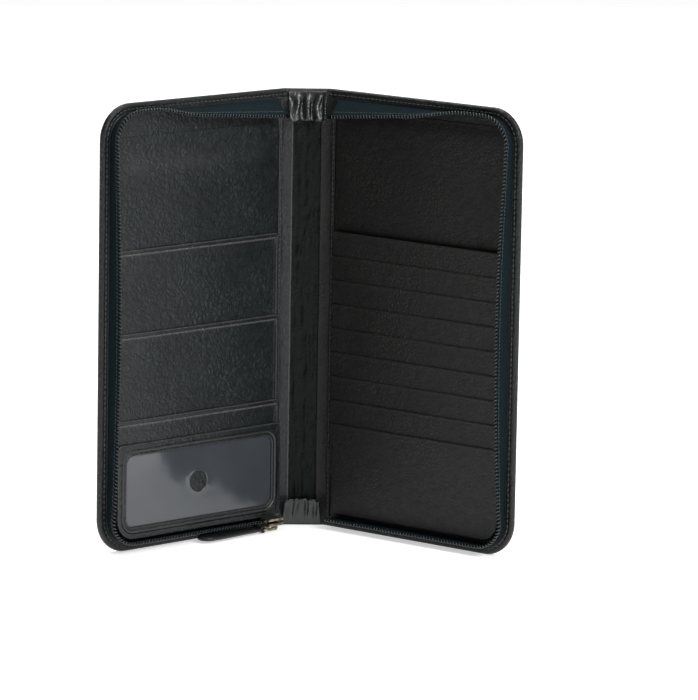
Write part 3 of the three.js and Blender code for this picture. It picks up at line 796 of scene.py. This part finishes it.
def make_inner_leather(side):
    material, slot = INNER[side]
    low, high = cover_extent(LABEL[side] + "_lining")
    low[2], high[2], outer = low[2] - 1.3, high[2] + 1.3, high[0] + 1.3
    radius = CORNER - low[2]
    radii = (0, radius, radius, 0)
    rows = spaced(low[2], high[2], 4)
    middle = np.linspace(FLAP_JOIN, 30, 9)
    cols = join([middle, np.arange(34, outer - 9, 4), outer - FINE[::-1][1:]])
    s, z, _ = rounded_grid((FLAP_JOIN, low[2]), (outer, high[2]), radii, cols, rows)
    edge = edge_distance(s, z, (FAR, low[2]), (outer, high[2]), radii)
    wave = drape(side, s, z)
    front = high[1] - 0.5 * (1 - rounded_rise(edge, 0.6)) + wave
    step = np.arange(FLAP_STEPS)[None, :]
    pucker = 0.25 * ripples(step * 0.9, rows[:, None], 31 + side, 30)
    pucker = pucker * np.sin(np.linspace(0, math.pi, FLAP_STEPS))[None, :]
    lift = pucker + 0.3 * ridge(step, 1.3, 1.1) - 0.5 * (step == 0)

    def flap(depth, lift):
        curve = gutter_curve(side, depth + 0.1, FLAP_STEPS + 1)[:-1]
        y = curve[None, :, 1] - lift
        return together(curve[None, :, 0], y, rows[:, None])

    front_points = join([flap(high[1], lift), place(side, s, front, z)], 1)
    back_points = join([flap(low[1], pucker), place(side, s, low[1] + wave, z)], 1)
    reach = np.linspace(-7, FLAP_JOIN, FLAP_STEPS + 1)[:-1][None, :] + 0 * rows[:, None]
    reach = join([reach, s], 1)
    cloth = together(reach * side, rows[:, None], 0)
    # Painted highlight along the flap's turned edge beside the gutter.
    pale_wear_and_highlight = 0.45 * (np.arange(reach.shape[1]) == 1)
    name = LABEL[side] + "_inner_leather"
    piece = slab(name, front_points, back_points, material, cloth, pale_wear_and_highlight)
    across_fold(piece)
    finish_piece(piece, slot, LABEL[side] + "_lining")


def make_panel(name, node, side, crease=True, gape=0.5, taller=0.0):
    """A pocket panel on the place of its CAD node. Its mouth is turned over and creased, or,
    for the panel at the back, sinks into the leather under a soft crest."""
    material, slot = INNER[side]
    low, high = cover_extent(node)
    high[2] = high[2] + taller
    cols = spaced(low[0], high[0], 4.0)
    rows = spaced(low[2], high[2], 4.0)
    s, z, edge = rounded_grid((low[0], low[2]), (high[0], high[2]), PANEL_RADII, cols, rows)
    from_top = high[2] - z
    thick = (high[1] - low[1] + 0.25) * rounded_rise(edge, 0.8)
    wave = drape(side, s, z)
    lift = gape * smooth(from_top, 26, 0) * smooth(s, low[0] + 2, low[0] + 30)
    lift = lift * smooth(high[0] - s, 2, 25)
    if crease:
        near_top = smooth(from_top, 12, 2)
        # Painted highlight: a pale line along the pocket's top edge.
        pale_wear_and_highlight = 0.425 * ridge(edge, 0.35, 0.3) * smooth(from_top, 3, 0.5)
        crest = np.minimum(from_top, np.maximum(s - low[0], 0))
        crest = np.where((z > high[2] - 3) & (s < low[0] + 3), edge, crest)
        front = low[1] + thick + wave + lift
        front = front - 0.4 * ridge(crest, 2.1, 0.32) + 0.12 * ridge(crest, 1.2, 0.6)
        front = front + 0.22 * ridge(crest, 2.95, 0.4)
        # Painted highlight on the bead below the crease, strongest near the top.
        pale_wear_and_highlight = pale_wear_and_highlight + (0.08 + 0.8 * near_top) * ridge(crest, 2.7, 0.3)
    else:
        sunk = 1 - smooth(from_top, 0, 9)
        below = from_top + 1.5 * ripples(s, 0 * z, 77, 60)
        crest = ridge(below, 15, 6) * smooth(s, low[0] + 4, low[0] + 20)
        crest = crest * smooth(high[0] - s, 4, 20) * (0.75 + 0.25 * ripples(s, z, 78, 30))
        crest = crest * (taller == 0)
        lift = lift - 0.3 * sunk + 0.8 * crest
        # Painted sheen over the soft crest under the zip.
        pale_wear_and_highlight = 0.09 * np.maximum(crest, 0)
        front = low[1] + thick * (1 - 0.7 * sunk) + wave + lift
    piece = sheet_solid(name, side, s, z, front, low[1] + wave + lift, material, pale_wear_and_highlight)
    ride_cover(piece, side, slot, node)


def make_left_pockets():
    make_panel("document_pocket_panel", "left_document_pocket", LEFT, False, 0.1)
    for name in ("passport_pocket", "ticket_pocket", "boarding_pass_pocket"):
        make_panel(name + "_panel", "left_" + name, LEFT)


def make_right_pockets():
    make_panel("right_document_panel", "right_document_pocket", RIGHT, False, 0.0, 8.5)
    thick = 0.75
    for node in sorted(name for name in frame["nodes"] if name.startswith("card_slot_")):
        number = int(node.rsplit("_", 1)[1])
        low, high = cover_extent(node)
        cols = spaced(low[0], high[0], 6.0)
        rows = join([np.linspace(low[2], high[2] - 18, 6), high[2] - FINE[::-1]])
        rows = np.unique(join([rows, low[2] + FINE[1:12:2]]))
        radii = (1, PANEL_CORNER, 1.5, 1.5)
        s, z, edge = rounded_grid((low[0], low[2]), (high[0], high[2]), radii, cols, rows)
        tilt = (high[1] - thick - low[1]) * (z - low[2]) / (high[2] - low[2])
        top = high[2] - z
        bow = 0.12 * ripples(s, z * 0.4, 60 + number, 70) * smooth(s, low[0], low[0] + 25)
        bow = bow * smooth(high[0] - s, 0, 25) * smooth(top, 14, 4)
        base = low[1] + tilt + drape(RIGHT, s, z) + bow
        front = base + thick * rounded_rise(edge, 0.75) - 0.1 * ridge(top, 1.6, 0.3)
        # Painted highlights: a pale line at the slot's top edge and another along the crease just
        # below it.
        pale_wear_and_highlight = 0.5 * ridge(top, 0.5, 0.3) + 0.5 * ridge(top, 1.9, 0.25)
        name = "card_slot_panel_" + str(number)
        piece = sheet_solid(name, RIGHT, s, z, front, base, SLOT_LEATHER, pale_wear_and_highlight)
        ride_cover(piece, RIGHT, "slot_leather", node)


def make_bindings(side):
    """The narrow strip beside the gutter that the pockets are sewn under."""
    material, slot = INNER[side]
    node = LABEL[side] + "_inner_binding"
    low, high = cover_extent(node)
    middle = (low[0] + high[0]) / 2
    cols = np.linspace(low[0] - 0.3, high[0] + 0.1, 13)
    rows = spaced(low[2], high[2], 4)
    s, z, edge = rounded_grid((cols[0], low[2]), (cols[-1], high[2]), (0.6,) * 4, cols, rows)
    front = low[1] - 0.2 + 0.9 * rounded_rise(edge, 0.9)
    front = front + 0.15 * ripples(s * 0, z, 41 + side, 24) - 0.3 * ridge(s, middle, 0.35)
    # Painted highlight along the strip's edges.
    pale_wear_and_highlight = 0.2 * ridge(edge, 0.5, 0.4)
    name = LABEL[side] + "_pocket_binding"
    piece = sheet_solid(name, side, s, z, front, low[1] - 0.2 + 0 * s, material, pale_wear_and_highlight)
    ride_cover(piece, side, slot, node)
    at_z = np.linspace(low[2] + 2, high[2] - 2, 160)
    line = surface_path(side, 0 * at_z + middle, at_z, low[1] + 0.42, False)
    seam = stitching(LABEL[side] + "_binding_stitching", [line], THREAD, thread=0.18)
    ride_cover(seam, side, slot)


# ---- Window ----
def rounded_loop(low, high, radii, inset, counts=(26, 12, 8)):
    """Points round a rectangle with round corners, moved inwards, the same number every time."""
    (s0, z0), (s1, z1) = low, high
    s0, z0, s1, z1 = s0 + inset, z0 + inset, s1 - inset, z1 - inset
    radii = [max(radius - inset, 0.05) for radius in radii]
    corners = [(s0, z0, 1, 1), (s1, z0, -1, 1), (s1, z1, -1, -1), (s0, z1, 1, -1)]
    points = []
    for k, (radius, (s, z, right, up)) in enumerate(zip(radii, corners)):
        turn = math.pi * (1 + k / 2) + np.linspace(0, math.pi / 2, counts[2] + 1)
        centre = [s + right * radius, z + up * radius]
        points.append(centre + radius * together(np.cos(turn), np.sin(turn)))
    loop = []
    for k in range(4):
        loop.append(points[k])
        start, end = points[k][-1], points[(k + 1) % 4][0]
        share = np.linspace(0, 1, counts[k % 2] + 1)[1:-1, None]
        loop.append(start + (end - start) * share)
    return join(loop)


def ring_solid(name, side, loops, fronts, backs, material, wear_and_highlight=0):
    """A closed ring-shaped sheet: loops from the opening outwards, with depths for each."""
    flat = np.stack(loops)
    s, z = flat[..., 0], flat[..., 1]
    wave = drape(side, s, z)
    front = place(side, s, np.asarray(fronts)[:, None] + wave, z)
    back = place(side, s, np.asarray(backs)[:, None] + wave, z)[::-1]
    cloth = together(s * side, z, 0 * s)
    pale_wear_and_highlight = np.reshape(wear_and_highlight, (-1, 1)) + 0 * s
    return make_piece(
        name,
        join([front, back]),
        grid_faces(2 * len(loops), len(loops[0]), close_rows=True, close_cols=True),
        material,
        join([cloth, cloth[::-1] + [0, 0, 5]]),
        join([pale_wear_and_highlight, 0 * pale_wear_and_highlight]),
    )


WINDOW = ((13.0, 14.4), (119.0, 54.0))
WINDOW_RADII = (5.0,) * 4
THUMB_RADIUS = 6.0
FRAME_THICKNESS = 1.0


def make_window():
    low, high = cover_extent("id_window_frame")
    outline = ((low[0], low[2]), (high[0], high[2]))
    loops, fronts, pale_wear_and_highlight = [], [], []
    for step in (0, 0.12, 0.3, 0.55, 0.85, 1.2, 1.5, 1.75, 2.0, 2.3, 2.7, 3.2, 4.0):
        loops.append(rounded_loop(*WINDOW, WINDOW_RADII, -step))
        front = low[1] + FRAME_THICKNESS * float(rounded_rise(step, 0.6))
        fronts.append(front - 0.45 * ridge(step, 1.75, 0.32) + 0.2 * ridge(step, 2.6, 0.4))
        # Painted highlights: pale lines at the window's edge and beside the groove round it.
        pale_wear_and_highlight.append(0.2 * ridge(step, 0.3, 0.3) + 0.4 * ridge(step, 2.45, 0.25))
    inner, outer = loops[-1], rounded_loop(*outline, PANEL_RADII, 3.4)
    for share in (0.2, 0.4, 0.6, 0.8):
        loops.append(inner + (outer - inner) * share)
        fronts.append(low[1] + FRAME_THICKNESS)
        pale_wear_and_highlight.append(0)
    for inset in (3.4, 2.8, 2.4, 2.1, 1.8, 1.4, 0.9, 0.5, 0.25, 0.1, 0):
        loops.append(rounded_loop(*outline, PANEL_RADII, inset))
        fronts.append(low[1] + FRAME_THICKNESS * float(rounded_rise(inset, 0.7)))
        # Painted highlight along the frame's outer edge.
        pale_wear_and_highlight.append(0.4 * ridge(inset, 0.3, 0.25))
    backs = [low[1] - 0.1] * len(loops)
    panel = ring_solid("window_frame_panel", LEFT, loops, fronts, backs, POCKET_LEATHER, pale_wear_and_highlight)
    ride_cover(panel, LEFT, "inner_leather", "id_window_frame")
    low, high = cover_extent("id_window_vinyl")
    outer = rounded_loop((low[0] + 1, low[2] + 1), (high[0] - 1, high[2] - 1), (1, 11, 3, 3), 0)
    middle = np.mean(WINDOW, 0)
    turn = np.arctan2(*(outer - middle).T[::-1])
    circle = middle + THUMB_RADIUS * together(np.cos(turn), np.sin(turn))
    shares = join([[0, 0.01, 0.03], np.linspace(0.08, 1, 14)])
    loops = [circle + (outer - circle) * share for share in shares]
    bead = join([[0.12, 0.16, 0.06], np.zeros(14)])
    pane = ring_solid("window_pane", LEFT, loops, high[1] + 0.02 + bead, low[1] - bead / 2, VINYL)
    ride_cover(pane, LEFT, "clear_vinyl", "id_window_vinyl")


# ---- Zip ----
TAPE_SECTION = [(2.4, 3.0), (3.6, 3.0), (4.5, 3.15), (5.05, 3.7), (5.2, 4.6)]
TAPE_STEPS = 9
TAPE_THICKNESS = 0.45


def make_tape(side):
    stations = edge_stations(1.0, ZIP_START - 1.0)
    inset = chain_inset(side, stations)
    s, z, turn = stations
    length = run_length(s, z)
    gather = 0.12 + 0.42 * smooth(-turn, 0.2, 1.2) + 0.25 * ridge(np.abs(turn), 0.8, 0.4)
    gather = gather * (0.6 + 0.4 * ripples(length, 0 * length, 71 + side, 37))
    pleat = np.sin(2 * math.pi * length / 3.9 + 0.8 * np.sin(length / 11))
    slack = 0.5 * smooth(-turn, 0.6, 1.5) + 0.35 * ripples(length, 0 * length, 81 + side, 60)
    insets = [i + 0 * inset for i, d in TAPE_SECTION]
    depths = [d for i, d in TAPE_SECTION]
    start_inset, start_depth = TAPE_SECTION[-1]
    for share in np.linspace(0, 1, TAPE_STEPS)[1:]:
        belly = math.sin(math.pi * share) * (gather * pleat + slack * 0.8)
        insets.append(start_inset + (inset - start_inset) * share - belly)
        depths.append(start_depth + (CHAIN_DEPTH - 0.2 - start_depth) * share)
    at_s, at_z = inset_line([part[:, None] for part in stations], np.stack(insets, 1))
    points = place(side, at_s, np.array(depths), at_z)
    cloth = together(length[:, None], np.arange(len(depths)) * 1.1, 0)
    faces = grid_faces(*points.shape[:2])
    tape = make_piece(LABEL[side] + "_tape", points, faces, TAPE, cloth)
    thicken(tape, TAPE_THICKNESS)
    ride_cover(tape, side, "zip_tape", LABEL[side] + "_zip_tape")


def make_tape_seam(side):
    """The sewing line that holds the coil, one row on each side of the tape."""
    stations = edge_stations(1.0, ZIP_START)
    turn = stations[2]
    share = 0.24
    inset = chain_inset(side, stations)
    line = inset - (inset - 5.2) * share
    depth = CHAIN_DEPTH - 0.2 - (CHAIN_DEPTH - 4.8) * share
    lift = 0.12 + 0.23 * smooth(turn, -1.2, -0.4)

    def row(inset):
        at_s, at_z = inset_line(stations, inset)
        return place(side, at_s, depth, at_z)

    rows = [(row(line - way * lift), row(line - way) - row(line)) for way in (-1, 1)]
    seam = stitching(LABEL[side] + "_tape_seam", rows, THREAD, 2.05, 1.4, 0.22)
    ride_cover(seam, side, "zip_tape")


COIL_STEPS = 12
COIL_SIDES = 7


def make_coil(side):
    """A nylon coil: one wire wound along the tape's edge, with a head on each turn."""
    stations = edge_stations(0.5, ZIP_START)
    inset = chain_inset(side, stations)
    s, z = inset_line(stations, inset)
    turn = stations[2]
    length = run_length(s, z)
    turns = int(length[-1] / TOOTH_PITCH)
    at = np.linspace(0, length[-1], turns * COIL_STEPS + 1)
    s, z, turn = (np.interp(at, length, values) for values in (s, z, turn))
    phase = 2 * math.pi * np.arange(len(at)) / COIL_STEPS
    if side == RIGHT:
        phase = phase + math.pi
    out_s, out_z = inset_line((s, z, turn), -COIL_WIDTH * np.sin(phase))
    centre = place(side, s, CHAIN_DEPTH, z)
    wire = place(side, out_s, CHAIN_DEPTH + COIL_DEPTH * np.cos(phase), out_z)
    head = np.clip(np.cos(phase), 0, 1) ** 3
    radii = COIL_WIRE + 0.14 * head
    rings = tube_rings(wire, wire - centre, radii, COIL_SIDES)
    cloth = np.repeat(together(at, 0 * at, 0 * at), COIL_SIDES, 0)
    faces = tube_faces(len(at), COIL_SIDES)
    coil = make_piece(LABEL[side] + "_coil", rings, faces, TEETH, cloth)
    ride_cover(coil, side, "zip_teeth", LABEL[side] + "_zip_chain")


# ---- Spine ----
def make_spine_lining():
    low, high = (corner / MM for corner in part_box("spine_lining"))
    half = 8.6
    x = np.linspace(-half, half, 41)[None, :]
    z = np.linspace(low.z, high.z, 150)[:, None]
    folds = 0.28 * ripples(x * 3.2, z * 0.35, 7, 13) + 0.16 * ripples(x * 2, z, 9, 12)
    crook = z - (168 + 9 * np.sin(x / 4))
    folds = folds + 0.4 * ridge(crook - 1.2 * x, 0, 2.2) - 0.35 * ridge(crook + 1.5 * x, 9, 2.5)
    y = high.y - 0.65 - folds * smooth(half - np.abs(x), 0.2, 2.5)
    front = together(x, y, z)
    back = together(x, high.y + 0 * y, z)
    cloth = together(x, z, 0 * y)
    piece = slab("spine_lining_leather", front, back, LINING_LEATHER, cloth)
    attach(piece, "spine")
    finish_piece(piece, "lining_leather", "spine_lining")


def bezier(a, b, c, t):
    return (1 - t) ** 2 * np.array(a) + 2 * t * (1 - t) * np.array(b) + t**2 * np.array(c)


TAB_PLEAT = 1.0
TAB_COLS = 49
TAB_ROWS = 17


def make_tab(side, top):
    """Half of the gathered leather between the ends of the tapes, from the spine's middle out."""
    share = np.linspace(0, 1, TAB_COLS)[:, None]
    rim = bezier((0, SPINE_BACK - 3.7), (7, SPINE_BACK - 3.7), (10.6, SPINE_BACK - 4.6), share)
    free = bezier((0, SPINE_BACK - 8.3), (6.2, SPINE_BACK - 8.8), (9.6, SPINE_BACK - 11.8), share)
    down = np.linspace(0, 1, TAB_ROWS)
    line = rim[None] + (free - rim)[None] * down[:, None, None] ** 1.25
    along = np.gradient(line, axis=1)
    along = along / np.linalg.norm(along, axis=-1, keepdims=True)
    out = together(along[..., 1], -along[..., 0])
    u, v = share.T, down[:, None]
    seed = 91 if top else 95
    wander = 0.17 * ripples(u * 8, v * 8, seed + side, 8)
    pleats = np.cos(2 * math.pi * (1.9 * u + 0.3 * side * u * u + wander * np.minimum(3 * u, 1)))
    sharp = np.sign(pleats) * np.abs(pleats) ** 0.75
    crumple = 0.22 * ripples(u * 14, v * 15, seed + 1 + side, 6) * (u > 0)
    swell = smooth(v, 0.03, 0.45) * (1 - 0.55 * smooth(v, 0.75, 1))
    strength, crumple = (1.0, crumple) if top else (0.75, 0.3 * crumple)
    pleat = TAB_PLEAT * sharp * (0.55 + 0.45 * smooth(1 - u, 0, 0.3))
    shift = strength * swell * (pleat + crumple * u)
    line = line + out * shift[..., None]
    edge_z = HEIGHT - 1.0 if top else 1.0
    free_z = HEIGHT - 17.0 if top else 16.0
    sag = 0.5 * ripples(u * 20, 0 * u, seed + 3, 14) * v * u
    height = edge_z + (free_z - edge_z) * down[:, None] + sag + 0 * u
    points = together(side * line[..., 0], line[..., 1], height)
    cloth = together(side * u * 14, height, 40)
    # Painted highlights on the crests of the pleats.
    pale_wear_and_highlight = 0.5 * np.clip(sharp, 0, 1) ** 4 * swell
    end = "top" if top else "bottom"
    name = end + "_tab_" + LABEL[side]
    tab = make_piece(name, points, grid_faces(TAB_ROWS, TAB_COLS), TAB_LEATHER, cloth, pale_wear_and_highlight)
    thicken(tab, 0.8)
    across_fold(tab)
    finish_piece(tab, "inner_leather", end + "_gusset_tab")


# ---- Slider, link and pull ----
LINK_WIRE = 0.55
LINK_LENGTH = 10.0
LINK_NEAR = 2.7
LINK_FAR = 5.2
PULL_LENGTH = 44.0
PULL_END = 5.6
PULL_NECK = 3.9


def hung_points(joint, x, y, z):
    """Places on a piece that hangs from the slider: along, across and up from its joint."""
    across = np.array(JOINTS[joint]["axis"])
    x, y, z = (values[..., None] for values in np.broadcast_arrays(x, y, z))
    start = np.array(JOINTS[joint]["pos_m"]) / MM
    return start + x * np.array(ALONG_LEFT) + y * across + z * np.array([0.0, 0, 1])


def make_link():
    bend = 1.4
    far = LINK_LENGTH - bend
    corners = [(far, LINK_FAR - bend, 0, 90), (bend, LINK_NEAR - bend, 100, 180)]
    corners += [(bend, bend - LINK_NEAR, 180, 260), (far, bend - LINK_FAR, 270, 360)]
    route = []
    for x, y, start, end in corners:
        turn = np.radians(np.linspace(start, end, 9))
        route.append([x + bend * np.cos(turn), y + bend * np.sin(turn)])
    x, y = join(route, 1)
    points = hung_points("link_swing", x, y, 0 * x)
    up = np.broadcast_to([0.0, 0, 1], points.shape)
    rings = tube_rings(points, up, np.full(len(points), LINK_WIRE), 14, closed=True)
    faces = tube_faces(len(points), 14, closed=True)
    link = make_piece("link_wire", rings, faces, BRASS, rings)
    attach(link, "link")
    finish_piece(link, "aged_brass", "puller_link")


def make_pull():
    """A folded strap: padded between raised edges, round at the end, looped over the link."""
    start = 1.2
    near_edge = FINE[:12]
    cols = spaced(start, PULL_LENGTH, 1.2, near_edge)
    rows = [near_edge - PULL_END, np.linspace(-2.4, 2.4, 9), PULL_END - near_edge[::-1]]
    radii = (0.4, PULL_END - 0.1, PULL_END - 0.1, 0.4)
    low, high = (start, -PULL_END), (PULL_LENGTH, PULL_END)
    x, y, edge = rounded_grid(low, high, radii, cols, join(rows))
    y = y * (PULL_NECK + (PULL_END - PULL_NECK) * smooth(x, 6, 34)) / PULL_END
    lift = 1.05 * np.sqrt(1 - (1 - np.clip(edge / 0.9, 0, 1)) ** 2)
    lift = lift - 0.42 * ridge(edge, 1.9, 0.45) + 0.12 * smooth(edge, 2.4, 5)
    lift = np.maximum(lift * (0.75 + 0.25 * smooth(x, 1.5, 7)) + 0.02, 0.05)
    faces_of_strap = [hung_points("pull_swing", x, y, way * lift) for way in (1, -1)]
    points = join(faces_of_strap).reshape(-1, 3)
    cloth = together(x, y, 0 * x).reshape(-1, 3)
    pale_wear_and_highlight = 0.8 * ridge(edge, 0.6, 0.5).ravel()
    profile = [(-3.7, 0.95), (-3.85, 1.2), (-3.85, 1.55), (-3.6, 1.85), (-3.0, 1.95), (0, 1.98)]
    profile += [(3.0, 1.95), (3.6, 1.85), (3.85, 1.55), (3.85, 1.2), (3.7, 0.95), (0, 0.9)]
    sides, radius = np.array(profile).T
    turn = np.linspace(0, 2 * math.pi, 28, endpoint=False)[:, None]
    loop = hung_points("pull_swing", radius * np.cos(turn), sides, radius * np.sin(turn))
    faces = slab_faces(*x.shape)
    faces += grid_faces(28, len(profile), len(points), close_rows=True, close_cols=True)
    pull = make_piece(
        "pull_strap",
        join([points, loop.reshape(-1, 3)]),
        faces,
        PULL_LEATHER,
        join([cloth, cloth, together(2 * turn, sides, 9).reshape(-1, 3)]),
        join([pale_wear_and_highlight, pale_wear_and_highlight, np.full(loop[..., 0].size, 0.2)]),
    )
    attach(pull, "pull")
    finish_piece(pull, "cover_leather", "leather_pull")


def dress(node, material):
    """Gives a CAD piece its material and returns it."""
    piece = frame["nodes"][node]
    piece.data.materials.clear()
    piece.data.materials.append(material)
    return piece


def dress_cad_pieces():
    """The slider, stops, boards and stiffener keep their CAD shape."""
    for node in ("zip_slider", "left_zip_top_stop", "right_zip_top_stop", "zip_bottom_stop"):
        metal_kind = BRASS if node == "zip_slider" else BLACKENED
        round_over = dress(node, metal_kind).modifiers.new("worn_edges", "BEVEL")
        round_over.width = 0.28 * MM
        round_over.segments = 3
        round_over.limit_method = "ANGLE"
    for node in ("left_cover_board", "right_cover_board", "spine_stiffener"):
        dress(node, BOARD)


make_studio()
for side_sign in (LEFT, RIGHT):
    make_shell(side_sign)
    make_inner_leather(side_sign)
    make_bindings(side_sign)
    make_tape(side_sign)
    make_coil(side_sign)
    make_tape_seam(side_sign)
    make_tab(side_sign, True)
    make_tab(side_sign, False)
make_exterior_pocket()
make_left_pockets()
make_right_pockets()
make_window()
make_spine_lining()
make_link()
make_pull()
dress_cad_pieces()
